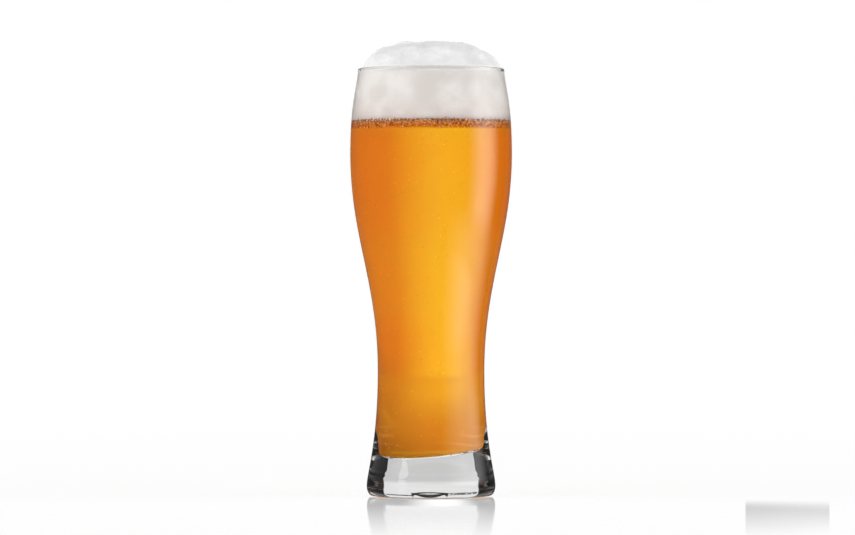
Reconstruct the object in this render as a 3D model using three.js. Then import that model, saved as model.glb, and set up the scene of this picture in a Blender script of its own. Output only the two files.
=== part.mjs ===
// A tall one-piece beer glass, filled. The glass has a heavy solid base, a drawn-in waist, a full belly and
// an upright fire-polished lip. It holds beer, a thin layer of coarse bubbles, and a head of foam whose
// crown stands above the lip. Millimetres, +Z up, with the origin on the axis, in the plane it stands on.
import * as THREE from "three";

// Outside of the glass: the widest and narrowest places, and how far each curve runs on upright from them
const GLASS_HEIGHT = 215;
const LIP_DIAMETER = 73.9;
const LIP_SWEEP_DOWN = 7.3;
const BELLY_DIAMETER = 81.7;
const BELLY_BELOW_LIP = 43;
const BELLY_SWEEP_UP = 27;
const BELLY_SWEEP_DOWN = 40.6;
const WAIST_DIAMETER = 53.7;
const WAIST_HEIGHT = 62.8;
const WAIST_SWEEP_UP = 45;
const WAIST_SWEEP_DOWN = 36.5;
const FOOT_DIAMETER = 64.8;
const FOOT_HEIGHT = 4.9;
const FOOT_SWEEP_UP = 6.7;

// Underside: a flat bearing ring round a shallow push-up
const BEARING_RING_DIAMETER = 59;
const PUSH_UP_DIAMETER = 28;
const PUSH_UP_DEPTH = 2;

// Inside of the glass: wall thicknesses, and the round-cornered well at the bottom with its uneven floor
const LIP_WALL = 1.6;
const BELLY_WALL = 1.7;
const WAIST_WALL = 3;
const BASE_THICKNESS = 17.7;
const WELL_DIAMETER = 34.6;
const WELL_DEPTH = 5;
const WELL_FLOOR_SWEEP = 13.5;
const WELL_CORNER_SWEEP = 4;
const WELL_SWEEP_UP = 14;
const WELL_SWEEP_DOWN = 14;
const FLOOR_LEAN = THREE.MathUtils.degToRad(6.5);

// Contents: the levels are measured down from the lip, as a pour is
const BEER_BELOW_LIP = 28.9;
const BUBBLE_LAYER_DEPTH = 2.2;
const CROWN_RISE = 13.5;
const CROWN_EDGE_RUN = 7;
const CROWN_EDGE_RISE = 10.8;
const CROWN_TOP_DIAMETER = 42;
const LUMP_HEIGHT = 0.8;
const LUMP_PITCH = 27;
const CONTACT_GAP = 0.3;

// Fineness: the flats round the axis, and the steps along each curve of the profiles
const TURN_STEPS = 48;
const PUSH_UP_STEPS = 5;
const HEEL_STEPS = 5;
const FOOT_STEPS = 9;
const BOWL_STEPS = 12;
const LIP_STEPS = 8;
const LIP_ROUND_STEPS = 6;
const WELL_FLOOR_STEPS = 9;
const WELL_WALL_STEPS = 6;
const CROWN_STEPS = 12;

const lipRadius = LIP_DIAMETER / 2;
const bellyRadius = BELLY_DIAMETER / 2;
const waistRadius = WAIST_DIAMETER / 2;
const footRadius = FOOT_DIAMETER / 2;
const bearingRadius = BEARING_RING_DIAMETER / 2;
const pushUpRadius = PUSH_UP_DIAMETER / 2;
const wellRadius = WELL_DIAMETER / 2;
const lipRound = LIP_WALL / 2;
const lipHeight = GLASS_HEIGHT - lipRound;
const bellyHeight = GLASS_HEIGHT - BELLY_BELOW_LIP;
const wellHeight = BASE_THICKNESS + WELL_DEPTH;
const beerTop = GLASS_HEIGHT - BEER_BELOW_LIP;
const layerBottom = beerTop + CONTACT_GAP;
const layerTop = layerBottom + BUBBLE_LAYER_DEPTH;
const foamBottom = layerTop + CONTACT_GAP;
const crownTop = GLASS_HEIGHT + CROWN_RISE;

const at = (radius, height) => new THREE.Vector2(radius, height);

// A curve between two places on a profile that leaves one and reaches the other upright
function sweep(lowRadius, lowHeight, up, highRadius, highHeight, down) {
  return new THREE.CubicBezierCurve(
    at(lowRadius, lowHeight),
    at(lowRadius, lowHeight + up),
    at(highRadius, highHeight - down),
    at(highRadius, highHeight),
  );
}

// The points along a chain of curves, each given with its number of steps, without doubled ends
function trace(...chain) {
  return chain.flatMap(([curve, steps], i) => curve.getPoints(steps).slice(i ? 1 : 0));
}

// A profile of (radius, height) points from axis to axis, turned about the Z axis
function revolve(profile) {
  return new THREE.LatheGeometry(profile, TURN_STEPS).rotateX(Math.PI / 2);
}

// Raises or lowers each vertex by what rise gives for its x, y, z and its place in the profile
function lift(geometry, profileLength, rise) {
  const position = geometry.getAttribute("position");
  for (let i = 0; i < position.count; i++) {
    const [x, y, z] = [position.getX(i), position.getY(i), position.getZ(i)];
    position.setZ(i, z + rise(x, y, z, i % profileLength));
  }
  return geometry;
}

// The inside floor slopes up towards +X, and the slope dies out at the waist
function floorLean(x, z) {
  const share = (WAIST_HEIGHT - z) / (WAIST_HEIGHT - BASE_THICKNESS);
  return x * Math.tan(FLOOR_LEAN) * THREE.MathUtils.clamp(share, 0, 1);
}

// The hollow of the glass, from the middle of its floor up to the lip
const hollow = trace(
  [
    new THREE.CubicBezierCurve(
      at(0, BASE_THICKNESS),
      at(WELL_FLOOR_SWEEP, BASE_THICKNESS),
      at(wellRadius, wellHeight - WELL_CORNER_SWEEP),
      at(wellRadius, wellHeight),
    ),
    WELL_FLOOR_STEPS,
  ],
  [
    sweep(wellRadius, wellHeight, WELL_SWEEP_UP, waistRadius - WAIST_WALL, WAIST_HEIGHT, WELL_SWEEP_DOWN),
    WELL_WALL_STEPS,
  ],
  [
    sweep(
      waistRadius - WAIST_WALL,
      WAIST_HEIGHT,
      WAIST_SWEEP_UP,
      bellyRadius - BELLY_WALL,
      bellyHeight,
      BELLY_SWEEP_DOWN,
    ),
    BOWL_STEPS,
  ],
  [
    sweep(bellyRadius - BELLY_WALL, bellyHeight, BELLY_SWEEP_UP, lipRadius - LIP_WALL, lipHeight, LIP_SWEEP_DOWN),
    LIP_STEPS,
  ],
);

// The skin of the glass, from the middle of its underside round the heel and up to the lip
const skin = trace(
  [new THREE.EllipseCurve(0, 0, pushUpRadius, PUSH_UP_DEPTH, Math.PI / 2, 0, true), PUSH_UP_STEPS],
  [new THREE.LineCurve(at(pushUpRadius, 0), at(bearingRadius, 0)), 1],
  [
    new THREE.EllipseCurve(bearingRadius, FOOT_HEIGHT, footRadius - bearingRadius, FOOT_HEIGHT, -Math.PI / 2, 0),
    HEEL_STEPS,
  ],
  [sweep(footRadius, FOOT_HEIGHT, FOOT_SWEEP_UP, waistRadius, WAIST_HEIGHT, WAIST_SWEEP_DOWN), FOOT_STEPS],
  [sweep(waistRadius, WAIST_HEIGHT, WAIST_SWEEP_UP, bellyRadius, bellyHeight, BELLY_SWEEP_DOWN), BOWL_STEPS],
  [sweep(bellyRadius, bellyHeight, BELLY_SWEEP_UP, lipRadius, lipHeight, LIP_SWEEP_DOWN), LIP_STEPS],
  [new THREE.EllipseCurve(lipRadius - lipRound, lipHeight, lipRound, lipRound, 0, Math.PI), LIP_ROUND_STEPS],
);

// The wall that the contents lie against: the hollow drawn in by the contact gap
const wetted = hollow.map((point, i) => {
  const before = hollow[Math.max(i - 1, 0)];
  const after = hollow[Math.min(i + 1, hollow.length - 1)];
  const along = after.clone().sub(before).normalize();
  return at(Math.max(point.x - CONTACT_GAP * along.y, 0), point.y + CONTACT_GAP * along.x);
});

// A point on that wall at a height
function wallPoint(height) {
  const i = wetted.findIndex((point) => point.y >= height);
  const [below, above] = [wetted[i - 1], wetted[i]];
  return below.clone().lerp(above, (height - below.y) / (above.y - below.y));
}

// That wall from a height up to the lip
function wallAbove(height) {
  return [wallPoint(height), ...wetted.filter((point) => point.y > height)];
}

// Glass: skin outside and hollow inside, joined at the lip
function glassBody() {
  const profile = [...skin, ...hollow.toReversed().slice(1)];
  return lift(revolve(profile), profile.length, (x, y, z, place) =>
    place < skin.length ? 0 : floorLean(x, z),
  );
}

// Beer: fills the hollow from its floor to a level top
function beerBody() {
  const wall = wetted.filter((point) => point.y < beerTop);
  const profile = [...wall, wallPoint(beerTop), at(0, beerTop)];
  return lift(revolve(profile), profile.length, (x, y, z) => floorLean(x, z));
}

// Bubble layer: a flat disc of coarse wet bubbles on the beer
function bubbleLayerBody() {
  const wall = wallAbove(layerBottom).filter((point) => point.y < layerTop);
  return revolve([at(0, layerBottom), ...wall, wallPoint(layerTop), at(0, layerTop)]);
}

// Foam head: fills the top of the hollow and rises from the inner edge of the lip into a low lumpy crown
function foamBody() {
  const wall = wallAbove(foamBottom);
  const edge = wall.at(-1);
  const crown = new THREE.CubicBezierCurve(
    edge,
    at(edge.x - CROWN_EDGE_RUN, edge.y + CROWN_EDGE_RISE),
    at(CROWN_TOP_DIAMETER / 2, crownTop),
    at(0, crownTop),
  );
  const profile = [at(0, foamBottom), ...wall, ...crown.getPoints(CROWN_STEPS).slice(1)];
  const wave = (2 * Math.PI) / LUMP_PITCH;
  return lift(revolve(profile), profile.length, (x, y, z) => {
    const share = Math.max(z - edge.y, 0) / (crownTop - edge.y);
    return LUMP_HEIGHT * share * (Math.cos(wave * x) * Math.cos(wave * y) - Math.sin((wave * (x + y)) / 2));
  });
}

const finishes = {
  glass: { color: 0xeef2f1, roughness: 0.03, metalness: 0, transparent: true, opacity: 0.25 },
  beer: { color: 0xf0a01e, roughness: 0.05, metalness: 0, transparent: true, opacity: 0.85 },
  bubble_layer: { color: 0xa86428, roughness: 0.35, metalness: 0 },
  foam_head: { color: 0xe8e3de, roughness: 0.85, metalness: 0 },
};

function piece(name, geometry) {
  const mesh = new THREE.Mesh(geometry, new THREE.MeshStandardMaterial(finishes[name]));
  mesh.name = name;
  return mesh;
}

const filledGlass = new THREE.Group();
filledGlass.add(
  piece("glass", glassBody()),
  piece("beer", beerBody()),
  piece("bubble_layer", bubbleLayerBody()),
  piece("foam_head", foamBody()),
);

export default filledGlass;
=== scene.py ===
import math

import bpy
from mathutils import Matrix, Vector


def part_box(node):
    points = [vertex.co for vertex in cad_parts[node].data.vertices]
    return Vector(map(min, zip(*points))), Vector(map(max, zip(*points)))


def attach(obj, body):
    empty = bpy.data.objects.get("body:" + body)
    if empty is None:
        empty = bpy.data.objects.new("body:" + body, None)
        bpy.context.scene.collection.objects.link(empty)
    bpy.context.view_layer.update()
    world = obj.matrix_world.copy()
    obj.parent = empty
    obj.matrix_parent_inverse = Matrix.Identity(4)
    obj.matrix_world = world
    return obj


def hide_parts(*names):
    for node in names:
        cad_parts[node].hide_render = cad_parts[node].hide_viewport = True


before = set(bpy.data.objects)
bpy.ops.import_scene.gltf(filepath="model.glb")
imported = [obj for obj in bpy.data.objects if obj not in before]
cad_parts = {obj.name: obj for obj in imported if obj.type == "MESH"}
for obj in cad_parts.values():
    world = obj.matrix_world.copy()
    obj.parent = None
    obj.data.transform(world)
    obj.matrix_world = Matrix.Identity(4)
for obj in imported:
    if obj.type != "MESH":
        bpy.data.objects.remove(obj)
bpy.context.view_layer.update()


# The camera is level and far off with a long lens, as for a picture of goods for sale, so the lip and the
# foot show as thin ellipses. Its height is the middle of the picture, halfway up the filled glass.
CAMERA_DISTANCE = 2.4
CAMERA_HEIGHT = 0.1148
CAMERA_TO_THE_LEFT = 0.0018
LENS_MM = 200.7
SENSOR_MM = 36
camera_data = bpy.data.cameras.new("camera")
camera_data.lens = LENS_MM
camera_data.sensor_width = SENSOR_MM
camera = bpy.data.objects.new("camera", camera_data)
camera.location = (-CAMERA_TO_THE_LEFT, -CAMERA_DISTANCE, CAMERA_HEIGHT)
camera.rotation_euler = (math.pi / 2, 0, 0)
bpy.context.collection.objects.link(camera)
bpy.context.scene.camera = camera
bpy.context.scene.view_settings.view_transform = "Standard"
bpy.context.scene.cycles.max_bounces = 32
bpy.context.scene.cycles.glossy_bounces = 4
bpy.context.scene.cycles.transmission_bounces = 24
bpy.context.scene.cycles.diffuse_bounces = 8
bpy.context.scene.cycles.blur_glossy = 0


# The studio is a white sweep. The camera sees plain white, and glass sees the same white with greyer corners
# between the four walls, which is what draws the edges of clear things. Rough surfaces get a soft light, with
# two brighter soft boxes in it, at the left and at the right on the camera's side.
class Wire:
    """An output socket of a node tree. Arithmetic on it adds Math nodes, and node() adds any other node."""

    def __init__(self, tree, socket=None):
        self.tree = tree
        self.socket = socket

    def node(self, kind, settings=None, inputs=None, output=0):
        made = self.tree.nodes.new(kind)
        for name, value in (settings or {}).items():
            setattr(made, name, value)
        for name, value in (inputs or {}).items():
            if isinstance(value, Wire):
                self.tree.links.new(value.socket, made.inputs[name])
            else:
                made.inputs[name].default_value = value
        return Wire(self.tree, made.outputs[output])

    def other(self, output):
        """Another output of the node that this one comes from."""
        return Wire(self.tree, self.socket.node.outputs[output])

    def maths(self, operation, *others):
        """A Math node with this value first."""
        return self.node("ShaderNodeMath", {"operation": operation}, dict(enumerate((self, *others))))

    def maths_after(self, operation, first):
        """A Math node with this value second."""
        return self.node("ShaderNodeMath", {"operation": operation}, {0: first, 1: self})

    def __add__(self, other):
        return self.maths("ADD", other)

    def __sub__(self, other):
        return self.maths("SUBTRACT", other)

    def __mul__(self, other):
        return self.maths("MULTIPLY", other)

    def __truediv__(self, other):
        return self.maths("DIVIDE", other)

    def __pow__(self, other):
        return self.maths("POWER", other)

    def __radd__(self, other):
        return self.maths_after("ADD", other)

    def __rsub__(self, other):
        return self.maths_after("SUBTRACT", other)

    def __rmul__(self, other):
        return self.maths_after("MULTIPLY", other)

    def __rtruediv__(self, other):
        return self.maths_after("DIVIDE", other)

    def ease(self, low, high, start=0.0, end=1.0):
        """Goes smoothly from start to end as this value goes from low to high."""
        return self.node(
            "ShaderNodeMapRange",
            {"interpolation_type": "SMOOTHSTEP"},
            {"Value": self, "From Min": low, "From Max": high, "To Min": start, "To Max": end},
        )

    def tint(self, first, second):
        """A colour that goes from first to second as this value goes from 0 to 1."""
        return self.node("ShaderNodeMix", {"data_type": "RGBA"}, {0: self, 6: first, 7: second}, output=2)

    def blend(self, first, second):
        """A shader that goes from first to second as this value goes from 0 to 1."""
        return self.node("ShaderNodeMixShader", None, {0: self, 1: first, 2: second})


def split(wire, vector):
    """The x, y and z of a vector."""
    first = wire.node("ShaderNodeSeparateXYZ", None, {0: vector})
    return [first.other(axis) for axis in range(3)]


def grey(level):
    """A colour without hue."""
    return (level, level, level, 1)


def ways_seen(wire):
    """Three values of 0 or 1: seen by the camera itself, through glass, or in a mirroring surface."""
    path = wire.node("ShaderNodeLightPath")
    through = path.other("Is Transmission Ray")
    return path.other("Is Camera Ray"), through, path.other("Is Glossy Ray") * (1 - through)


STUDIO_WHITE = 1.25
STUDIO_CORNER = 0.1
STUDIO_TURN = math.radians(8)
CORNER_START = -0.375
CORNER_FALL = 1.35
NEVER_ZERO = 1e-6


def lit_walls(x, y):
    """1 towards the middle of each of the four walls of the studio, and 0 in its corners."""
    across = x * math.cos(STUDIO_TURN) + y * math.sin(STUDIO_TURN)
    along = y * math.cos(STUDIO_TURN) - x * math.sin(STUDIO_TURN)
    two_fold = (across * across - along * along) / (x * x + y * y + NEVER_ZERO)
    four_fold = 2 * two_fold * two_fold - 1
    lit = (four_fold.maths("MAXIMUM", CORNER_START) - CORNER_START) / (1 - CORNER_START)
    return lit**CORNER_FALL


CEILING = (0.45, 0.8)
CAMERA_SIDE = (-0.9, -0.3)
CAMERA_SIDE_LEVEL = 0.1
MIRRORED_BACK = (0.97, 0.99)
MIRRORED_DARK = 0.07
SOFT_BACK_TO_FRONT = (0.6, -0.6)
SOFT_BACK = 1.05
SOFT_FRONT = 1.42
SOFT_CEILING = (0.25, 0.8)
SOFT_ABOVE = 0.2
SOFT_BOXES = (((-0.891, -0.411, 0.192), 3.1), ((0.915, -0.352, 0.197), 2.7))
SOFT_BOX_EDGE = math.cos(math.radians(45))
SOFT_BOX_CORE = math.cos(math.radians(15))

world = bpy.data.worlds.new("studio")
world.use_nodes = True
world.node_tree.nodes.clear()
wire = Wire(world.node_tree)
looks, through, mirrored = ways_seen(wire)
x, y, z = split(wire, wire.node("ShaderNodeTexCoord"))
ceiling = z.ease(*CEILING)
walls = lit_walls(x, y) * y.ease(*CAMERA_SIDE, CAMERA_SIDE_LEVEL, 1.0)
room = STUDIO_CORNER + (STUDIO_WHITE - STUDIO_CORNER) * walls.maths("MAXIMUM", ceiling)
back = y.ease(*MIRRORED_BACK, MIRRORED_DARK, 1.0)
room = room + (back.maths("MAXIMUM", ceiling) - room) * mirrored
rough_before = wire.node("ShaderNodeLightPath", output="Diffuse Depth").maths("MINIMUM", 1.0)
clear_view = mirrored.maths("MAXIMUM", through) * (1 - rough_before)
soft = y.ease(*SOFT_BACK_TO_FRONT, SOFT_BACK, SOFT_FRONT) * z.ease(*SOFT_CEILING, 1.0, SOFT_ABOVE)
for (east, north, up), brightness in SOFT_BOXES:
    toward = x * east + y * north + z * up
    soft = soft + toward.ease(SOFT_BOX_EDGE, SOFT_BOX_CORE) * brightness
level = soft + (room - soft) * clear_view
level = level + (1 - level) * looks
background = wire.node("ShaderNodeBackground", None, {"Color": grey(1.0), "Strength": level})
out = world.node_tree.nodes.new("ShaderNodeOutputWorld")
world.node_tree.links.new(background.socket, out.inputs["Surface"])
bpy.context.scene.world = world


# The floor is a polished white board. It mirrors what stands on it, most at a low angle and close by, and it
# keeps the soft shadow of the glass. Far off it runs into the white of the sweep.
def material(name):
    """A new material with an empty node tree, and a Wire to add its nodes with."""
    made = bpy.data.materials.new(name)
    made.use_nodes = True
    made.node_tree.nodes.clear()
    return made, Wire(made.node_tree)


def spot_on(wire):
    """Where a point lies, in the coordinates of its own piece."""
    return wire.node("ShaderNodeTexCoord", output="Object")


def glowing(wire, strength):
    """A surface that shows as white of this strength, whatever light falls on it."""
    return wire.node("ShaderNodeEmission", None, {"Color": grey(1.0), "Strength": strength})


def show(made, surface, volume=None):
    """Puts a shader, and a volume where there is one, on the output of a material."""
    out = made.node_tree.nodes.new("ShaderNodeOutputMaterial")
    made.node_tree.links.new(surface.socket, out.inputs["Surface"])
    if volume is not None:
        made.node_tree.links.new(volume.socket, out.inputs["Volume"])


def sheet(name, places, faces, finish):
    """A thin piece of the studio, which isn't part of the object."""
    mesh = bpy.data.meshes.new(name)
    mesh.from_pydata(places, [], faces)
    mesh.materials.append(finish)
    made = bpy.data.objects.new(name, mesh)
    bpy.context.collection.objects.link(made)
    return made


FLOOR_REACH = 40.0
FLOOR_CORNERS = ((-1, -1), (1, -1), (1, 1), (-1, 1))
FLOOR_DROP = 0.0001
FLOOR_PAINT = 0.6
FLOOR_SHOWN = 0.9
SEEN_IN_GLASS = 0.62
SEEN_IN_GLASS_REACH = (0.1, 0.112)
SEEN_IN_BEER = 0.17
SEEN_CLIMB = 2.6
SEEN_FAR_OFF = 0.85
SEEN_IN_CORNERS = 0.25
SEEN_FRONT_TO_BACK = (-0.3, 0.2)
SEEN_MIRRORED = 0.08
FAR_FLOOR = (0.8, 1.6)
WHITE_NEAR = 0.88
WHITE_RUN = (0.25, 1.2)
POLISH_IOR = 1.5
POLISH_ROUGHNESS = 0.06
MIRROR_MOST = 0.9
MIRROR_REACH = 0.4
MIRROR_FRONT = (0.2, 0.7)
floor_finish, wire = material("polished_white_board")
spot = spot_on(wire)
away = wire.node("ShaderNodeVectorMath", {"operation": "LENGTH"}, {0: spot}, output="Value")
looks, through, mirrored = ways_seen(wire)
x, y, z = split(wire, spot)
walls = lit_walls(x, y)
far_floor = STUDIO_CORNER + (STUDIO_WHITE - STUDIO_CORNER) * walls
# Seen through the glass the floor glows at set greys: painted shade close behind the glass and in the corners
# of the room, and a dim grey in mirror images.
climb = SEEN_IN_BEER + (away - SEEN_IN_GLASS_REACH[0]) * SEEN_CLIMB
behind = climb.maths("MINIMUM", SEEN_FAR_OFF) * (SEEN_IN_CORNERS + (1 - SEEN_IN_CORNERS) * walls)
behind = SEEN_IN_GLASS + (behind - SEEN_IN_GLASS) * away.ease(*SEEN_IN_GLASS_REACH)
seen = 1 + (behind - 1) * (y / away).ease(*SEEN_FRONT_TO_BACK)
seen = seen + (far_floor - seen) * away.ease(*FAR_FLOOR)
lit = glowing(wire, through * seen + mirrored * SEEN_MIRRORED + looks)
paint = looks.tint(grey(FLOOR_PAINT), grey(FLOOR_SHOWN))
painted = wire.node("ShaderNodeBsdfDiffuse", None, {"Color": paint})
share_lit = looks * away.ease(*WHITE_RUN, WHITE_NEAR, 1.0) + through + mirrored
mirror = wire.node("ShaderNodeBsdfGlossy", None, {"Color": grey(1.0), "Roughness": POLISH_ROUGHNESS})
polish = wire.node("ShaderNodeFresnel", None, {"IOR": POLISH_IOR})
near = (1 - away / MIRROR_REACH).maths("MAXIMUM", 0.0)
in_front = (0 - y / away).ease(*MIRROR_FRONT)
share_mirrored = polish * near * in_front * MIRROR_MOST
show(floor_finish, share_mirrored.blend(share_lit.blend(painted, lit), mirror))
sheet(
    "floor",
    [(FLOOR_REACH * east, FLOOR_REACH * north, -FLOOR_DROP) for east, north in FLOOR_CORNERS],
    [(0, 1, 2, 3)],
    floor_finish,
)


# A tall card of white board, bent about the glass, stands close by on the right. It is only seen mirrored: by
# the glass as the long pale stripe down that side, wide at the waist and slim at the belly, and by the floor
# as a grey patch further out.
def about_glass(radius, degrees, height):
    """A place about the axis of the glass. Degrees go from the camera's side towards the right."""
    turn = math.radians(degrees)
    return (radius * math.sin(turn), -radius * math.cos(turn), height)


def degrees_about(x, y):
    """The degrees of a point about the axis of the glass, from -180 to 180."""
    return x.maths("ARCTAN2", 0 - y) * math.degrees(1)


def card(name, places, faces, finish, mirrored=False):
    """A sheet that the camera doesn't see itself: it shows through the glass, or only as a mirror image."""
    made = sheet(name, places, faces, finish)
    made.visible_camera = False
    made.visible_diffuse = False
    made.visible_shadow = False
    made.visible_glossy = mirrored
    made.visible_transmission = not mirrored


CARD_STEPS = 24


def curved_card(name, radius, from_degrees, to_degrees, low, high, finish, mirrored=False):
    """A card that stands bent about the axis of the glass, between two heights."""
    places = []
    for i in range(CARD_STEPS + 1):
        degrees = from_degrees + (to_degrees - from_degrees) * i / CARD_STEPS
        places += [about_glass(radius, degrees, height) for height in (low, high)]
    faces = [(2 * i, 2 * i + 2, 2 * i + 3, 2 * i + 1) for i in range(CARD_STEPS)]
    card(name, places, faces, finish, mirrored)


STRIPE_RADIUS = 0.2
STRIPE_LOW = 0.002
STRIPE_HIGH = 0.6
STRIPE_FROM = 15
STRIPE_TO = 124
STRIPE_GLOW = 2.9
STRIPE_FADE_IN = (0.008, 0.042)
STRIPE_FADE_OUT = (0.58, 0.2)
WIDE_RISE = (STRIPE_FROM, 65)
WIDE_FALL = (STRIPE_TO, 80)
WIDE_LEVEL = 0.86
SLIM_RISE = (47, 73)
SLIM_FALL = (106, 77)
WIDE_TO_SLIM = (0.055, 0.11)
DIP = 0.4
DIP_FROM = (0.049, 0.058)
DIP_TO = (0.11, 0.08)
white_card, wire = material("white_card")
x, y, z = split(wire, spot_on(wire))
turn = degrees_about(x, y)
wide = turn.ease(*WIDE_RISE) * turn.ease(*WIDE_FALL, 0.0, WIDE_LEVEL)
slim = turn.ease(*SLIM_RISE) * turn.ease(*SLIM_FALL)
bell = (wide + (slim - wide) * z.ease(*WIDE_TO_SLIM)) * z.ease(*STRIPE_FADE_IN) * z.ease(*STRIPE_FADE_OUT)
bell = bell * (1 - DIP * z.ease(*DIP_FROM) * z.ease(*DIP_TO))
inner_side = wire.node("ShaderNodeNewGeometry", output="Backfacing")
unseen = wire.node("ShaderNodeBsdfTransparent")
show(white_card, inner_side.blend(unseen, glowing(wire, bell * STRIPE_GLOW)))
curved_card(
    "stripe_card", STRIPE_RADIUS, STRIPE_FROM, STRIPE_TO, STRIPE_LOW, STRIPE_HIGH, white_card, mirrored=True
)


# Low black cards stand behind the base and beside it, on the left and the right alike, with black sheets on
# the floor at their feet. The thick base bends them into view as its dark sides.
SHEET_LIFT = 0.00005


def floor_sheet(name, corners, finish):
    """A flat card on the floor, with its corners at (radius, degrees) about the axis of the glass."""
    places = [about_glass(radius, degrees, SHEET_LIFT) for radius, degrees in corners]
    card(name, places, [tuple(range(len(places)))], finish)


BLACK = 0.012
BLACK_RADIUS = 0.062
BLACK_CARDS = ((108, 165.5, 0.0, 0.02), (60, 108, 0.01, 0.022))
BLACK_SHEET_BEHIND = (
    (0.036, 143),
    (0.036, 168.5),
    (0.057, 168.5),
    (0.07, 163),
    (0.08, 158.5),
    (0.088, 156),
    (0.088, 128),
    (0.06, 128),
)
BLACK_SHEET_BESIDE = ((0.034, 50), (0.034, 90), (0.044, 90), (0.044, 50))
black_card, wire = material("black_card")
show(black_card, glowing(wire, BLACK))
for side in (-1, 1):
    for first, last, low, high in BLACK_CARDS:
        curved_card("black_card", BLACK_RADIUS, side * first, side * last, low, high, black_card)
    for corners in (BLACK_SHEET_BEHIND, BLACK_SHEET_BESIDE):
        floor_sheet("black_mat", [(radius, side * degrees) for radius, degrees in corners], black_card)


# A pale card stands behind the base and lights its lower part. A brighter streak on it goes on as a strip on
# the floor. Its low middle shows in all of the glass, and the rest of it only straight through the base.
STRAIGHT_CROSSINGS = 2.5


def crossings(wire):
    """How often light was bent or mirrored on its way. Straight through the base it is bent twice."""
    return wire.node("ShaderNodeLightPath", output="Ray Depth")


PALE_RADIUS = 0.1
PALE_HIGH = 0.09
PALE_FROM = 157.4
PALE_TO = 202.6
PALE_GLOW = 0.83
PALE_GLOW_BY = 0.008
PALE_MIDDLE_FROM = 159
PALE_MIDDLE_HIGH = 0.013
STREAK_FROM = (167.4, 168.0)
STREAK_TO = (171.4, 170.8)
STREAK_HEIGHTS = (0.009, 0.0)
STREAK_ADDS = (0.03, 0.14)
pale_card, wire = material("pale_card")
x, y, z = split(wire, spot_on(wire))
turn = degrees_about(x, y)
straight = crossings(wire).maths("LESS_THAN", STRAIGHT_CROSSINGS)
streak = straight * turn.ease(*STREAK_FROM) * turn.ease(*STREAK_TO) * z.ease(*STREAK_HEIGHTS, *STREAK_ADDS)
pale = glowing(wire, z.ease(0.0, PALE_GLOW_BY, SEEN_IN_GLASS, PALE_GLOW) + streak)
middle = turn.maths("ABSOLUTE").maths("GREATER_THAN", PALE_MIDDLE_FROM)
low_middle = middle * z.maths("LESS_THAN", PALE_MIDDLE_HIGH)
unseen = wire.node("ShaderNodeBsdfTransparent")
show(pale_card, low_middle.maths("MAXIMUM", straight).blend(unseen, pale))
curved_card("pale_card", PALE_RADIUS, PALE_FROM, PALE_TO, 0.0, PALE_HIGH, pale_card)

STREAK_GLOW = 0.76
STREAK_STRIP = ((0.06, 176.9), (0.06, 173.9), (0.078, 170.6), (0.086, 169.3), (0.086, 170.9), (0.078, 172.6))
pale_streak, wire = material("pale_streak")
show(pale_streak, glowing(wire, STREAK_GLOW))
floor_sheet("pale_streak", STREAK_STRIP, pale_streak)


# A card with dark marks stands behind the heel. Straight through the base, and in no other way, it shows as a
# dark lens of two ragged bows that meet at their ends, with a thin line on the left and specks on the right.
def noise(wire, spot, per_metre, detail):
    """Soft random patches, from 0 to 1 and mostly near the middle."""
    return wire.node("ShaderNodeTexNoise", None, {"Vector": spot, "Scale": per_metre, "Detail": detail})


MARKS_RADIUS = 0.075
MARKS_FROM = 163
MARKS_TO = 197
MARKS_LOW = 0.007
MARKS_HIGH = 0.07
MARKS_DARK = 0.015
MARKS_RAGGED = 1.2
BLOTS_PER_METRE = 900.0
LENS_HALF = 0.00545
LENS_ASIDE = 0.0005
LENS_ENDS = (1.2, 1.0)
HEEL_LOW = 0.00754
HEEL_ROWS = 7
HEEL_CROWDING = -0.97
UPPER_BOW = {"at": -0.2, "sag": 2.0, "stroke": 0.6, "stroke_at_ends": 1.1}
UPPER_STROKE = ((-0.2, 0.1), (2.3, 1.6))
LOWER_BOW = {"at": 5.7, "sag": 3.6, "stroke": 1.5, "stroke_at_ends": -0.9}
LOWER_STROKE = ((-0.4, -0.1), (1.9, 1.3))
LENS_FILL = (0.0, 0.5)
LENS_SMUDGES = (0.4, 0.6, 0.1, 0.7)
LINE_HEIGHTS = ((0.0159, 0.0178), (0.0255, 0.0227))
LINE_START = (0.0049, 0.006)
LINE_BREAKS = (0.35, 0.45)
SPECK_HEIGHTS = ((0.0092, 0.0102), (0.0187, 0.0169))
SPECK_START = (-0.0046, -0.006)
SPECK_BREAKS = (0.44, 0.47)
dark_marks, wire = material("ragged_dark_card")
spot = spot_on(wire)
x, y, z = split(wire, spot)
blots = noise(wire, spot, BLOTS_PER_METRE, detail=2.0)
ragged = (blots - 0.5) * MARKS_RAGGED
off = (x - LENS_ASIDE) / LENS_HALF
off = off * off
# The base shows the card upside down: the higher a place, the lower it shows, here in rows of the picture
down = HEEL_ROWS * (1 - (z / HEEL_LOW) ** HEEL_CROWDING)
under = down - UPPER_BOW["at"] - UPPER_BOW["sag"] * off
under = under / (UPPER_BOW["stroke"] + UPPER_BOW["stroke_at_ends"] * off) + ragged
over = LOWER_BOW["at"] - LOWER_BOW["sag"] * off - down
over = over / (LOWER_BOW["stroke"] + LOWER_BOW["stroke_at_ends"] * off) + ragged
upper = under.ease(*UPPER_STROKE[0]) * under.ease(*UPPER_STROKE[1])
lower = over.ease(*LOWER_STROKE[0]) * over.ease(*LOWER_STROKE[1])
within = under.ease(*LENS_FILL) * over.ease(*LENS_FILL) * blots.ease(*LENS_SMUDGES)
lens = upper.maths("MAXIMUM", lower).maths("MAXIMUM", within) * off.ease(*LENS_ENDS)
line = z.ease(*LINE_HEIGHTS[0]) * z.ease(*LINE_HEIGHTS[1]) * x.ease(*LINE_START) * blots.ease(*LINE_BREAKS)
specks = z.ease(*SPECK_HEIGHTS[0]) * z.ease(*SPECK_HEIGHTS[1])
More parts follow.
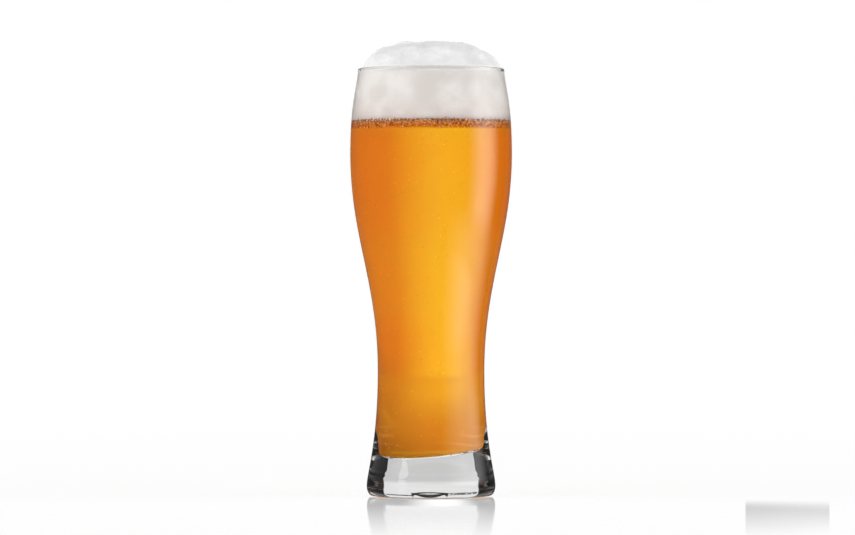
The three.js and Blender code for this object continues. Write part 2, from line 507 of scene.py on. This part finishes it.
specks = specks * x.ease(*SPECK_START) * blots.ease(*SPECK_BREAKS)
marks = lens.maths("MAXIMUM", line).maths("MAXIMUM", specks)
straight = crossings(wire).maths("LESS_THAN", STRAIGHT_CROSSINGS)
unseen = wire.node("ShaderNodeBsdfTransparent")
show(dark_marks, (marks * straight).blend(unseen, glowing(wire, MARKS_DARK)))
curved_card("ragged_dark_card", MARKS_RADIUS, MARKS_FROM, MARKS_TO, MARKS_LOW, MARKS_HIGH, dark_marks)


# A dim card stands behind the foot of the glass, further round on the right. It shows through the beer only,
# and keeps the lowest beer a deep orange.
DIM_RADIUS = 0.06
DIM_FROM = 152
DIM_TO = 197
DIM_LOW = 0.003
DIM_HIGH = 0.034
DIM_GLOW = 0.03
DIM_SHARE = 0.9
DIM_FADE_IN = (DIM_LOW, 0.008)
DIM_FADE_OUT = (DIM_HIGH, 0.018)
DIM_LEFT_END = (-0.0175, -0.012)
BEER_CROSSINGS = 3.5
dim_card, wire = material("dim_card")
x, y, z = split(wire, spot_on(wire))
in_beer = crossings(wire).maths("GREATER_THAN", BEER_CROSSINGS)
dim = in_beer * z.ease(*DIM_FADE_IN) * z.ease(*DIM_FADE_OUT) * x.ease(*DIM_LEFT_END) * DIM_SHARE
unseen = wire.node("ShaderNodeBsdfTransparent")
show(dim_card, dim.blend(unseen, glowing(wire, DIM_GLOW)))
curved_card("dim_card", DIM_RADIUS, DIM_FROM, DIM_TO, DIM_LOW, DIM_HIGH, dim_card)


# The glass is one blown and pressed piece of clear glass: a heavy solid base with a push-up underneath, a
# drawn-in waist, a full belly and a fire-polished lip. Its inside floor is dished and leans a little, as hot
# glass sets.
MM = 0.001


def arc(middle, across, upward, from_degrees, to_degrees, steps):
    """Points of a profile round an ellipse, without the first."""
    points = []
    for i in range(1, steps + 1):
        turn = math.radians(from_degrees + (to_degrees - from_degrees) * i / steps)
        points.append((middle[0] + across * math.cos(turn), middle[1] + upward * math.sin(turn)))
    return points


def bend(leaving, toward, arriving, end, steps):
    """Points of a profile along a curve with two handles, without the first."""
    points = []
    for i in range(1, steps + 1):
        t = i / steps
        shares = ((1 - t) ** 3, 3 * t * (1 - t) ** 2, 3 * t * t * (1 - t), t**3)
        corners = (leaving, toward, arriving, end)
        points.append(tuple(sum(s * c[k] for s, c in zip(shares, corners)) for k in (0, 1)))
    return points


def sweep(low, up, high, down, steps):
    """Points of a profile along a curve that leaves low and reaches high upright, without the first."""
    return bend(low, (low[0], low[1] + up), (high[0], high[1] - down), high, steps)


ROUND = 160


def turned(name, profile, rise=None):
    """A closed mesh turned about the Z axis from (radius, height) points that begin and end on the axis."""
    circle = [(math.cos(2 * math.pi * k / ROUND), math.sin(2 * math.pi * k / ROUND)) for k in range(ROUND)]
    places = [(0.0, 0.0, profile[0][1])]
    for row, (radius, height) in enumerate(profile[1:-1]):
        for c, s in circle:
            lift = rise(row + 1, radius * c, height) if rise else 0.0
            places.append((radius * c, radius * s, height + lift))
    places.append((0.0, 0.0, profile[-1][1]))
    rows = len(profile) - 2
    top = 1 + (rows - 1) * ROUND
    faces = []
    for k in range(ROUND):
        n = (k + 1) % ROUND
        faces.append((0, 1 + n, 1 + k))
        faces.append((top + k, top + n, len(places) - 1))
        for row in range(rows - 1):
            low = 1 + row * ROUND
            faces.append((low + k, low + n, low + ROUND + n, low + ROUND + k))
    mesh = bpy.data.meshes.new(name)
    mesh.from_pydata(places, [], faces)
    mesh.shade_smooth()
    made = bpy.data.objects.new(name, mesh)
    bpy.context.collection.objects.link(made)
    return made


glass_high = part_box("glass")[1]
GLASS_HEIGHT = glass_high.z
BELLY_RADIUS = glass_high.x
BELLY_BELOW_LIP = 43 * MM
BELLY_SWEEP_UP = 27 * MM
BELLY_SWEEP_DOWN = 40.6 * MM
BELLY_WALL = 1.7 * MM
LIP_RADIUS = 36.95 * MM
LIP_SWEEP = 7.3 * MM
LIP_WALL = 1.6 * MM
WAIST_RADIUS = 26.85 * MM
WAIST_HEIGHT = 62.8 * MM
WAIST_SWEEP_UP = 45 * MM
WAIST_SWEEP_DOWN = 36.5 * MM
WAIST_WALL = 3 * MM
FOOT_RADIUS = 32.4 * MM
FOOT_HEIGHT = 4.9 * MM
FOOT_SWEEP = 6.7 * MM
BEARING_RADIUS = 29.5 * MM
BEARING_EDGE = 0.8 * MM
PUSH_UP_RADIUS = 14 * MM
PUSH_UP_DEPTH = 2 * MM
PUSH_UP_FLAT = 0.62 * PUSH_UP_RADIUS
PUSH_UP_SHOULDER = (0.94 * PUSH_UP_RADIUS, 0.45 * PUSH_UP_DEPTH)
PUSH_UP_STEP = 0.2 * PUSH_UP_DEPTH
PUSH_UP_ROUNDING = 1.2 * MM
PUSH_UP_EDGE = 3 * MM
BASE_THICKNESS = 17.7 * MM
WELL_RADIUS = 17.3 * MM
WELL_DEPTH = 5 * MM
WELL_FLOOR_SWEEP = 13.5 * MM
WELL_CORNER_SWEEP = 4 * MM
WELL_SWEEP = 14 * MM
FLOOR_LEAN = math.tan(math.radians(6.5))
PUSH_UP_STEPS = 14
ROUNDING_STEPS = 5
HEEL_STEPS = 12
FOOT_STEPS = 26
BOWL_STEPS = 34
LIP_STEPS = 20
LIP_ROUND_STEPS = 14
WELL_FLOOR_STEPS = 26
WELL_WALL_STEPS = 22

lip_round = LIP_WALL / 2
lip_height = GLASS_HEIGHT - lip_round
lip = (LIP_RADIUS, lip_height)
belly = (BELLY_RADIUS, GLASS_HEIGHT - BELLY_BELOW_LIP)
waist = (WAIST_RADIUS, WAIST_HEIGHT)
foot = (FOOT_RADIUS, FOOT_HEIGHT)
skin = [(0.0, PUSH_UP_DEPTH)]
skin += bend(
    skin[0],
    (PUSH_UP_FLAT, PUSH_UP_DEPTH),
    PUSH_UP_SHOULDER,
    (PUSH_UP_RADIUS, PUSH_UP_STEP),
    PUSH_UP_STEPS,
)
skin += bend(
    skin[-1],
    (PUSH_UP_RADIUS + PUSH_UP_ROUNDING / 4, 0.0),
    (PUSH_UP_RADIUS + PUSH_UP_ROUNDING / 2, 0.0),
    (PUSH_UP_RADIUS + PUSH_UP_ROUNDING, 0.0),
    ROUNDING_STEPS,
)
skin += [(PUSH_UP_RADIUS + PUSH_UP_EDGE, 0.0), (BEARING_RADIUS - BEARING_EDGE, 0.0), (BEARING_RADIUS, 0.0)]
skin += arc((BEARING_RADIUS, FOOT_HEIGHT), FOOT_RADIUS - BEARING_RADIUS, FOOT_HEIGHT, -90, 0, HEEL_STEPS)
skin += sweep(foot, FOOT_SWEEP, waist, WAIST_SWEEP_DOWN, FOOT_STEPS)
skin += sweep(waist, WAIST_SWEEP_UP, belly, BELLY_SWEEP_DOWN, BOWL_STEPS)
skin += sweep(belly, BELLY_SWEEP_UP, lip, LIP_SWEEP, LIP_STEPS)
skin += arc((LIP_RADIUS - lip_round, lip_height), lip_round, lip_round, 0, 180, LIP_ROUND_STEPS)

inner_waist = (WAIST_RADIUS - WAIST_WALL, WAIST_HEIGHT)
inner_belly = (BELLY_RADIUS - BELLY_WALL, belly[1])
inner_lip = (LIP_RADIUS - LIP_WALL, lip_height)
well = (WELL_RADIUS, BASE_THICKNESS + WELL_DEPTH)
hollow = [(0.0, BASE_THICKNESS)]
hollow += bend(
    hollow[0],
    (WELL_FLOOR_SWEEP, BASE_THICKNESS),
    (WELL_RADIUS, well[1] - WELL_CORNER_SWEEP),
    well,
    WELL_FLOOR_STEPS,
)
hollow += sweep(well, WELL_SWEEP, inner_waist, WELL_SWEEP, WELL_WALL_STEPS)
hollow += sweep(inner_waist, WAIST_SWEEP_UP, inner_belly, BELLY_SWEEP_DOWN, BOWL_STEPS)
hollow += sweep(inner_belly, BELLY_SWEEP_UP, inner_lip, LIP_SWEEP, LIP_STEPS)


def floor_lean(x, height):
    """How far the inside is raised or lowered by the lean of the floor, which dies out at the waist."""
    share = (WAIST_HEIGHT - height) / (WAIST_HEIGHT - BASE_THICKNESS)
    return x * FLOOR_LEAN * min(max(share, 0.0), 1.0)


def glass_rise(row, x, height):
    """The lean, for the rows of the profile that belong to the inside."""
    return floor_lean(x, height) if row >= len(skin) else 0.0


GLASS_TINT = (0.985, 0.99, 0.987, 1)
GLASS_IOR = 1.52
RIPPLES_PER_METRE = 60.0
RIPPLE_STRENGTH = 0.03
RIPPLE_DEPTH = 1 * MM
SMEARS_PER_METRE = 35.0
SMEARS = (0.55, 0.75)
SMEAR_ROUGHNESS = 0.03
glass = turned("clear_glass", skin + hollow[-2::-1], glass_rise)
glass_finish, wire = material("fire_polished_glass")
spot = spot_on(wire)
ripple = noise(wire, spot, RIPPLES_PER_METRE, detail=1.0)
smears = noise(wire, spot, SMEARS_PER_METRE, detail=4.0)
waves = {"Strength": RIPPLE_STRENGTH, "Distance": RIPPLE_DEPTH, "Height": ripple}
surface = wire.node(
    "ShaderNodeBsdfPrincipled",
    None,
    {
        "Base Color": GLASS_TINT,
        "Roughness": smears.ease(*SMEARS, 0.0, SMEAR_ROUGHNESS),
        "IOR": GLASS_IOR,
        "Transmission Weight": 1.0,
        "Normal": wire.node("ShaderNodeBump", None, waves),
    },
)
show(glass_finish, surface)
glass.data.materials.append(glass_finish)
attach(glass, "root")
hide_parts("glass")


# The beer is clear amber liquid with a slight haze. It wets the glass all over, so its skin lies a hair
# inside the wall of the glass, where the light goes straight from one into the other.
BEER_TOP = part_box("beer")[1].z
BEER_EDGE_CLEAR = 0.2 * MM
BEER_EDGE_RING = 1 * MM
WETTING = 0.15 * MM


def grown(points, by):
    """A profile of the hollow pushed out into the wall of the glass."""
    moved = []
    for i, (radius, height) in enumerate(points):
        before = points[max(i - 1, 0)]
        after = points[min(i + 1, len(points) - 1)]
        run, climb = after[0] - before[0], after[1] - before[1]
        length = math.hypot(run, climb)
        moved.append((max(radius + by * climb / length, 0.0), height - by * run / length))
    return moved


def wall_between(points, low, high):
    """The part of a profile between two heights, with its ends cut to them."""
    kept = []
    for (r0, z0), (r1, z1) in zip(points, points[1:]):
        for cut in (low, high):
            if z0 < cut <= z1:
                kept.append((r0 + (r1 - r0) * (cut - z0) / (z1 - z0), cut))
        if low < z1 < high:
            kept.append((r1, z1))
    return sorted(set(kept), key=lambda point: point[1])


def inside_lean(row, x, height):
    """The lean, for every row of a profile that lies in the hollow."""
    return floor_lean(x, height)


beer_wall = grown(hollow, WETTING)
beer_edge = wall_between(beer_wall, BEER_TOP, GLASS_HEIGHT)[0]
beer_profile = [point for point in beer_wall if point[1] < BEER_TOP - BEER_EDGE_CLEAR] + [beer_edge]
beer_profile += [(radius, BEER_TOP) for radius in (beer_edge[0] - BEER_EDGE_RING, beer_edge[0] / 2, 0.0)]

BEER_IOR = 1.345
CLEAR_AMBER = (0.9, 1.0, 0.033, 1)
CLEAR_SHEEN = 0.2
ABSORBED_TO = (1.0, 0.7, 0.2, 1)
ABSORBING = 3.0
DEEP_AMBER = (0.95, 0.29, 0.017, 1)
GOLDEN_AMBER = (0.96, 0.34, 0.02, 1)
BROWN_AMBER = (0.55, 0.13, 0.01, 1)
LIGHT_BOW_AMBER = (1.0, 0.6, 0.2, 1)
# Painted shade: the beer is painted darker towards its bottom, less so on the right, where light falls off
# near the floor.
BOTTOM_SHADE = 0.5
BOTTOM_SHADE_HEIGHTS = (52 * MM, 16 * MM)
BOTTOM_SHADE_TO_RIGHT = (-4 * MM, 16 * MM)
BOTTOM_SHADE_AT_RIGHT = 0.65
FLOOR_SHADE = 0.12
FLOOR_SHADE_FACING = (-0.3, -0.8)
LEFT_SHADE = 0.13
LEFT_SHADE_HEIGHTS = (78 * MM, 58 * MM)
LEFT_SHADE_ACROSS = (2 * MM, -20 * MM)
CLOUDS_PER_METRE = 22.0
CLOUD_SHADE = 0.03
GOLDEN_BELOW = (150 * MM, 118 * MM)
GOLDEN_ALL_OVER = (76 * MM, 96 * MM)
PAINTED_LIGHT_TO_RIGHT = (0.0, 14 * MM)
UNDER_FOAM = (BEER_TOP - 2.7 * MM, BEER_TOP - 1.2 * MM)
UNDER_FOAM_BROWN = 0.7
UNDER_FOAM_HAZE = 0.25
# Painted highlights: thin pale bows of light low in the beer, in patches.
LIGHT_BOW_PATCHES_PER_METRE = 20.0
LIGHT_BOW_RADIANS_PER_METRE = 1300
LIGHT_BOW_SAG = 6
LIGHT_BOW_WANDER = 9
LIGHT_BOW_CREST = (0.3, 1.0)
LIGHT_BOW_HEIGHTS = (38 * MM, 30 * MM)
LIGHT_BOW_PATCHES = (0.42, 0.58, 0.0, 0.2)
HAZE = 0.71
HAZE_AT_BOTTOM = 0.9
HAZE_HEIGHTS = (50 * MM, 22 * MM)
HAZE_ROUGHNESS = 0.4
FLOOR_MIRROR = 0.97
FLOOR_MIRROR_FACING = (-0.45, -0.75)
beer = turned("beer", beer_profile, inside_lean)
beer_finish, wire = material("amber_beer")
spot = spot_on(wire)
x, y, z = split(wire, spot)
facing_up = split(wire, wire.node("ShaderNodeNewGeometry", output="Normal"))[2]
from_inside = wire.node("ShaderNodeNewGeometry", output="Backfacing")
clear_part = wire.node(
    "ShaderNodeBsdfPrincipled",
    None,
    {
        "Base Color": CLEAR_AMBER,
        "Roughness": 0.0,
        "IOR": BEER_IOR,
        "Transmission Weight": 1.0,
        "Specular Tint": grey(CLEAR_SHEEN),
    },
)
# Painted shade in one mask: darker towards the bottom, where the skin faces down, and low down on the left.
painted_shade = z.ease(*BOTTOM_SHADE_HEIGHTS, 0.0, BOTTOM_SHADE) * x.ease(*BOTTOM_SHADE_TO_RIGHT, 1.0, BOTTOM_SHADE_AT_RIGHT)
painted_shade = painted_shade + facing_up.ease(*FLOOR_SHADE_FACING, 0.0, FLOOR_SHADE)
painted_shade = painted_shade + z.ease(*LEFT_SHADE_HEIGHTS) * x.ease(*LEFT_SHADE_ACROSS, 0.0, LEFT_SHADE)
# Golden is a paler amber: all round in the narrow part above the waist, and lower down only towards the
# right, which is painted light on that side.
all_over = z.ease(*GOLDEN_ALL_OVER)
golden = z.ease(*GOLDEN_BELOW) * (all_over + (1 - all_over) * x.ease(*PAINTED_LIGHT_TO_RIGHT))
lightness = 1 - painted_shade - noise(wire, spot, CLOUDS_PER_METRE, detail=2.0) * CLOUD_SHADE
amber = lightness.tint(grey(0.0), golden.tint(DEEP_AMBER, GOLDEN_AMBER))
under_foam = z.ease(*UNDER_FOAM)
amber = (under_foam * UNDER_FOAM_BROWN).tint(amber, BROWN_AMBER)
# Painted highlights: pale bows low in the beer stand in for bright lines of light bent by the thick glass
# there.
bow_patches = noise(wire, spot, LIGHT_BOW_PATCHES_PER_METRE, detail=1.0)
bows = (z + x * x * LIGHT_BOW_SAG) * LIGHT_BOW_RADIANS_PER_METRE + bow_patches * LIGHT_BOW_WANDER
painted_light_bows = bows.maths("SINE").ease(*LIGHT_BOW_CREST) * z.ease(*LIGHT_BOW_HEIGHTS) * bow_patches.ease(*LIGHT_BOW_PATCHES)
hazy_part = wire.node(
    "ShaderNodeBsdfPrincipled",
    None,
    {
        "Base Color": painted_light_bows.tint(amber, LIGHT_BOW_AMBER),
        "Roughness": HAZE_ROUGHNESS,
        "IOR": BEER_IOR,
        "Specular IOR Level": 0.0,
    },
)
haze = z.ease(*HAZE_HEIGHTS, HAZE, HAZE_AT_BOTTOM) + under_foam * UNDER_FOAM_HAZE
body = (haze * (1 - from_inside)).blend(clear_part, hazy_part)
mirror_part = wire.node(
    "ShaderNodeBsdfPrincipled",
    None,
    {"Base Color": grey(FLOOR_MIRROR), "Metallic": 1.0, "Roughness": 0.0},
)
total_mirror = wire.node("ShaderNodeFresnel", None, {"IOR": BEER_IOR / GLASS_IOR}) * (1 - from_inside)
total_mirror = total_mirror * facing_up.ease(*FLOOR_MIRROR_FACING)
absorbing = wire.node("ShaderNodeVolumeAbsorption", None, {"Color": ABSORBED_TO, "Density": ABSORBING})
show(beer_finish, total_mirror.blend(body, mirror_part), absorbing)
beer.data.materials.append(beer_finish)
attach(beer, "root")
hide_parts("beer")


# Gas bubbles cling to the inside of the glass, small and far apart. One Geometry Nodes tree strews bubbles
# over the wall between two heights, and the coarse bubbles on top of the beer come from it too.
def growing_tree(name, inputs):
    """A new Geometry Nodes tree: a Wire to add its nodes with, and its inputs as Wires by name."""
    tree = bpy.data.node_groups.new(name, "GeometryNodeTree")
    for label, kind in inputs.items():
        tree.interface.new_socket(label, in_out="INPUT", socket_type="NodeSocket" + kind)
    tree.interface.new_socket("Geometry", in_out="OUTPUT", socket_type="NodeSocketGeometry")
    wire = Wire(tree)
    given = wire.node("NodeGroupInput")
    return wire, {label: given.other(label) for label in inputs}


def close_tree(wire, shape, finish):
    """Ends a tree: the shape becomes one plain mesh with a material."""
    whole = wire.node("GeometryNodeRealizeInstances", None, {"Geometry": shape})
    dressed = wire.node("GeometryNodeSetMaterial", None, {"Geometry": whole, "Material": finish})
    out = wire.tree.nodes.new("NodeGroupOutput")
    wire.tree.links.new(dressed.socket, out.inputs[0])
    return wire.tree


def pushed(wire, shape, direction, by):
    """A shape with its points moved along a direction."""
    offset = wire.node("ShaderNodeVectorMath", {"operation": "SCALE"}, {0: direction, "Scale": by})
    return wire.node("GeometryNodeSetPosition", None, {"Geometry": shape, "Offset": offset})


BEAD_SIDES = 7
BEAD_RINGS = 4


def strewn_bubbles_tree():
    """Strews round beads over a surface, between two heights whose edges are ragged."""
    inputs = {"Geometry": "Geometry", "Lowest": "Float", "Highest": "Float", "Ragged": "Float"}
    inputs |= {"Patch": "Float", "Spread": "Float", "Sink": "Float", "Smallest": "Float", "Largest": "Float"}
    inputs |= {"Seed": "Int", "Material": "Material"}
    wire, given = growing_tree("strewn_bubbles", inputs)
    points = wire.node(
        "GeometryNodeDistributePointsOnFaces",
        None,
        {"Mesh": given["Geometry"], "Density": given["Spread"], "Seed": given["Seed"]},
    )
    place = wire.node("GeometryNodeInputPosition")
    waver = noise(wire, place, 1 / given["Patch"], detail=2.0)
    level = split(wire, place)[2] + (waver - 0.5) * given["Ragged"]
    outside = level.maths("LESS_THAN", given["Lowest"]) + level.maths("GREATER_THAN", given["Highest"])
    kept = wire.node("GeometryNodeDeleteGeometry", None, {"Geometry": points, "Selection": outside})
    seated = pushed(wire, kept, points.other("Normal"), given["Sink"])
    ball = {"Segments": BEAD_SIDES, "Rings": BEAD_RINGS, "Radius": 1.0}
    bead = wire.node("GeometryNodeMeshUVSphere", None, ball)
    radius = wire.node(
        "FunctionNodeRandomValue",
        {"data_type": "FLOAT"},
        {2: given["Smallest"], 3: given["Largest"], 8: given["Seed"]},
        output=1,
    )
    laid = {"Points": seated, "Instance": bead, "Scale": radius}
    return close_tree(wire, wire.node("GeometryNodeInstanceOnPoints", None, laid), given["Material"])


def grow(made, tree, sizes):
    """Runs a Geometry Nodes tree on a piece with these sizes, and keeps the result as its plain mesh."""
    modifier = made.modifiers.new(tree.name, "NODES")
    modifier.node_group = tree
    for item in tree.interface.items_tree:
        if item.item_type == "SOCKET" and item.in_out == "INPUT" and item.name in sizes:
            modifier[item.identifier] = sizes[item.name]
    evaluated = made.evaluated_get(bpy.context.evaluated_depsgraph_get())
    mesh = bpy.data.meshes.new_from_object(evaluated)
    made.modifiers.remove(modifier)
    made.data = mesh
    mesh.shade_smooth()


# The beads are opaque. Their darker and paler tones, given at random, are painted shade and painted
# highlights, in place of the light that real bubbles bend.
GAS_DARK = (0.34, 0.095, 0.008, 1)
GAS_PALE = (0.95, 0.5, 0.11, 1)
GAS_MOTTLES_PER_METRE = 600.0
GAS_MOTTLE = (0.35, 0.65)
WET_MOTTLE = (0.3, 0.7)
GAS_ROUGHNESS = (0.1, 0.3)
gas_finish, wire = material("gas_bubble")
mottle = noise(wire, spot_on(wire), GAS_MOTTLES_PER_METRE, detail=1.0)
surface = wire.node(
    "ShaderNodeBsdfPrincipled",
    None,
    {
        "Base Color": mottle.ease(*GAS_MOTTLE).tint(GAS_DARK, GAS_PALE),
        "Roughness": mottle.ease(*WET_MOTTLE, *GAS_ROUGHNESS),
    },
)
show(gas_finish, surface)
bubbles_tree = strewn_bubbles_tree()
gas = turned("gas_bubbles", hollow + [(0.0, lip_height)], inside_lean)
grow(
    gas,
    bubbles_tree,
    {
        "Lowest": 24 * MM,
        "Highest": BEER_TOP - 3 * MM,
        "Ragged": 4 * MM,
        "Patch": 10 * MM,
        "Spread": 110000.0,
        "Sink": 0.1 * MM,
        "Smallest": 0.08 * MM,
        "Largest": 0.25 * MM,
        "Seed": 4,
        "Material": gas_finish,
    },
)
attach(gas, "root")


# The bubble layer is the wet rim where the foam drains back into the beer. It shows as a thin brown speckled
# band: a disc of small wet bubbles, with coarse ones strewn along the wall of the glass.
LAYER_SUNK = 0.15 * MM
LAYER_WETTING = 0.8 * WETTING
LAYER_LOW = (0.62, 0.185, 0.016, 1)
LAYER_MIDDLE = (0.5, 0.175, 0.035, 1)
LAYER_HIGH = (0.31, 0.115, 0.05, 1)
LAYER_LOW_TO_MIDDLE = (-0.1, 0.55)
LAYER_MIDDLE_TO_HIGH = (0.45, 1.0)
LAYER_MOTTLES_PER_METRE = 450.0
LAYER_RAGGED = 1.2
LAYER_ROUGHNESS = (0.25, 0.45)
DOMES_PER_METRE = 900.0
DOME_STRENGTH = 0.5
DOME_HEIGHT = 0.6 * MM
layer_bottom = BEER_TOP - LAYER_SUNK
layer_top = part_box("bubble_layer")[1].z
layer_wall = wall_between(grown(hollow, LAYER_WETTING), layer_bottom, layer_top)
layer = turned(
    "bubble_layer",
    [(0.0, layer_bottom), (layer_wall[0][0] / 2, layer_bottom)]
    + layer_wall
    + [(layer_wall[-1][0] / 2, layer_top), (0.0, layer_top)],
)


def layer_level(wire, spot):
    """0 at the bottom of the bubble layer and 1 at its top."""
    return (split(wire, spot)[2] - layer_bottom) / (layer_top - layer_bottom)


def cells_on(wire, spot, per_metre, feature):
    """Cells packed side by side, like the bubbles of a foam."""
    return wire.node("ShaderNodeTexVoronoi", {"feature": feature}, {"Vector": spot, "Scale": per_metre})


layer_finish, wire = material("wet_bubbles")
spot = spot_on(wire)
mottle = noise(wire, spot, LAYER_MOTTLES_PER_METRE, detail=3.0)
cells = cells_on(wire, spot, DOMES_PER_METRE, "DISTANCE_TO_EDGE")
domes = {"Strength": DOME_STRENGTH, "Distance": DOME_HEIGHT, "Height": cells}
level = layer_level(wire, spot) + (mottle - 0.5) * LAYER_RAGGED
drained = level.ease(*LAYER_LOW_TO_MIDDLE).tint(LAYER_LOW, LAYER_MIDDLE)
surface = wire.node(
    "ShaderNodeBsdfPrincipled",
    None,
    {
        "Base Color": level.ease(*LAYER_MIDDLE_TO_HIGH).tint(drained, LAYER_HIGH),
        "Roughness": mottle.ease(*WET_MOTTLE, *LAYER_ROUGHNESS),
        "Normal": wire.node("ShaderNodeBump", None, domes),
    },
)
show(layer_finish, surface)
layer.data.materials.append(layer_finish)
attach(layer, "root")
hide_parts("bubble_layer")

# The coarse beads are opaque too: dark ones are painted shade, and pale ones painted highlights that grow
# white towards the top of the layer.
COARSE_DARK = ((0.2, 0.048, 0.006, 1), (0.5, 0.36, 0.3, 1))
COARSE_DARK_LEVELS = (0.85, 1.25)
COARSE_PALE = ((0.88, 0.43, 0.11, 1), (0.97, 0.94, 0.93, 1))
COARSE_PALE_LEVELS = (0.55, 1.1)
COARSE_MOTTLES_PER_METRE = 800.0
COARSE_MOTTLE = (0.45, 0.56)
COARSE_ROUGHNESS = (0.15, 0.35)
coarse_finish, wire = material("coarse_bubble")
spot = spot_on(wire)
level = layer_level(wire, spot)
mottle = noise(wire, spot, COARSE_MOTTLES_PER_METRE, detail=1.0)
darker = level.ease(*COARSE_DARK_LEVELS).tint(*COARSE_DARK)
paler = level.ease(*COARSE_PALE_LEVELS).tint(*COARSE_PALE)
surface = wire.node(
    "ShaderNodeBsdfPrincipled",
    None,
    {
        "Base Color": mottle.ease(*COARSE_MOTTLE).tint(darker, paler),
        "Roughness": mottle.ease(*WET_MOTTLE, *COARSE_ROUGHNESS),
    },
)
show(coarse_finish, surface)
coarse = turned("coarse_bubbles", hollow + [(0.0, lip_height)], inside_lean)
grow(
    coarse,
    bubbles_tree,
    {
        "Lowest": layer_bottom - 1.4 * MM,
        "Highest": layer_top + 0.35 * MM,
        "Ragged": 2.6 * MM,
        "Patch": 2.5 * MM,
        "Spread": 2.6e6,
        "Sink": 0.0,
        "Smallest": 0.18 * MM,
        "Largest": 0.42 * MM,
        "Seed": 7,
        "Material": coarse_finish,
    },
)
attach(coarse, "root")


# The head is fine white foam. It fills the top of the glass, where it clings to the wall, and stands above
# the lip in a low lumpy crown. Behind the glass the foam is painted paler, as painted light; along the lip it
# is painted darker and on the crown greyer, as painted shade.
FOAM_SUNK = 0.4 * MM
FOAM_WETTING = 0.05 * MM
FOAM_BELOW_LIP = 1.2 * MM
FOAM_OFF_LIP = 0.25 * MM
FOAM_OFF_LIP_BELOW = 0.6 * MM
CROWN_OFF_LIP = 0.1 * MM
CROWN_ABOVE_LIP = 0.4 * MM
CROWN_RISE = 13.1 * MM
CROWN_EDGE_RUN = 7 * MM
CROWN_EDGE_RISE = 10.4 * MM
CROWN_TOP_RADIUS = 21 * MM
CROWN_STEPS = 40
foam_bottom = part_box("foam_head")[0].z - FOAM_SUNK
crown_top = GLASS_HEIGHT + CROWN_RISE
foam_wall = wall_between(grown(hollow, FOAM_WETTING), foam_bottom, lip_height - FOAM_BELOW_LIP)
crown_edge = (inner_lip[0] - CROWN_OFF_LIP, GLASS_HEIGHT + CROWN_ABOVE_LIP)
foam_profile = [(0.0, foam_bottom), (foam_wall[0][0] / 2, foam_bottom)] + foam_wall
foam_profile += [(inner_lip[0] - FOAM_OFF_LIP, lip_height - FOAM_OFF_LIP_BELOW), crown_edge]
foam_profile += bend(
    crown_edge,
    (crown_edge[0] - CROWN_EDGE_RUN, crown_edge[1] + CROWN_EDGE_RISE),
    (CROWN_TOP_RADIUS, crown_top),
    (0.0, crown_top),
    CROWN_STEPS,
)
foam = turned("foam_head", foam_profile)

LUMPS_START = (-0.5 * MM, 4 * MM)


def lumpy_foam_tree():
    """A Geometry Nodes tree that pushes the crown of the foam in and out by two sizes of lumps."""
    inputs = {"Geometry": "Geometry", "Lip Height": "Float", "Lump Height": "Float", "Lump Size": "Float"}
    inputs |= {"Bubble Height": "Float", "Bubble Size": "Float", "Material": "Material"}
    wire, given = growing_tree("lumpy_foam", inputs)
    place = wire.node("GeometryNodeInputPosition")
    lumps = noise(wire, place, 1 / given["Lump Size"], detail=2.5)
    grains = noise(wire, place, 1 / given["Bubble Size"], detail=3.0)
    free = (split(wire, place)[2] - given["Lip Height"]).ease(*LUMPS_START)
    push = free * ((lumps - 0.5) * given["Lump Height"] + (grains - 0.5) * given["Bubble Height"])
    finer = wire.node("GeometryNodeSubdivideMesh", None, {"Mesh": given["Geometry"], "Level": 1})
    moved = pushed(wire, finer, wire.node("GeometryNodeInputNormal"), push)
    return close_tree(wire, moved, given["Material"])


FOAM_PATCHES_PER_METRE = 65.0
FOAM_PATCHES = (0.35, 0.65)
FOAM_PAINTED_LIGHTER = ((0.735, 0.705, 0.685, 1), (0.845, 0.825, 0.81, 1))
CROWN_PAINTED_GREYER = ((0.6, 0.598, 0.6, 1), (0.665, 0.663, 0.665, 1))
RIM_SHADE_FOAM = (0.6, 0.58, 0.57, 1)
LIGHTER_TO_RIM_SHADE = (GLASS_HEIGHT - 3 * MM, GLASS_HEIGHT - 1 * MM)
RIM_SHADE_TO_CROWN = (GLASS_HEIGHT - 0.5 * MM, GLASS_HEIGHT + 3 * MM)
FROTH_PER_METRE = 900.0
FROTH_STRENGTH = 0.35
FROTH_HEIGHT = 0.4 * MM
foam_finish, wire = material("fine_foam")
spot = spot_on(wire)
height = split(wire, spot)[2]
patches = noise(wire, spot, FOAM_PATCHES_PER_METRE, detail=3.0).ease(*FOAM_PATCHES)
cells = cells_on(wire, spot, FROTH_PER_METRE, "F1")
froth = {"Strength": FROTH_STRENGTH, "Distance": FROTH_HEIGHT, "Height": cells}
# Painted light and shade: paler behind the glass, darker along the lip, greyer on the crown.
in_glass = height.ease(*LIGHTER_TO_RIM_SHADE).tint(patches.tint(*FOAM_PAINTED_LIGHTER), RIM_SHADE_FOAM)
surface = wire.node(
    "ShaderNodeBsdfPrincipled",
    None,
    {
        "Base Color": height.ease(*RIM_SHADE_TO_CROWN).tint(in_glass, patches.tint(*CROWN_PAINTED_GREYER)),
        "Roughness": 0.7,
        "Specular IOR Level": 0.2,
        "Subsurface Weight": 1.0,
        "Subsurface Scale": 5 * MM,
        "Subsurface Radius": (1.0, 1.0, 1.0),
        "Normal": wire.node("ShaderNodeBump", None, froth),
    },
)
show(foam_finish, surface)
grow(
    foam,
    lumpy_foam_tree(),
    {
        "Lip Height": GLASS_HEIGHT,
        "Lump Height": 5 * MM,
        "Lump Size": 11 * MM,
        "Bubble Height": 1 * MM,
        "Bubble Size": 2.6 * MM,
        "Material": foam_finish,
    },
)
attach(foam, "root")
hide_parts("foam_head")
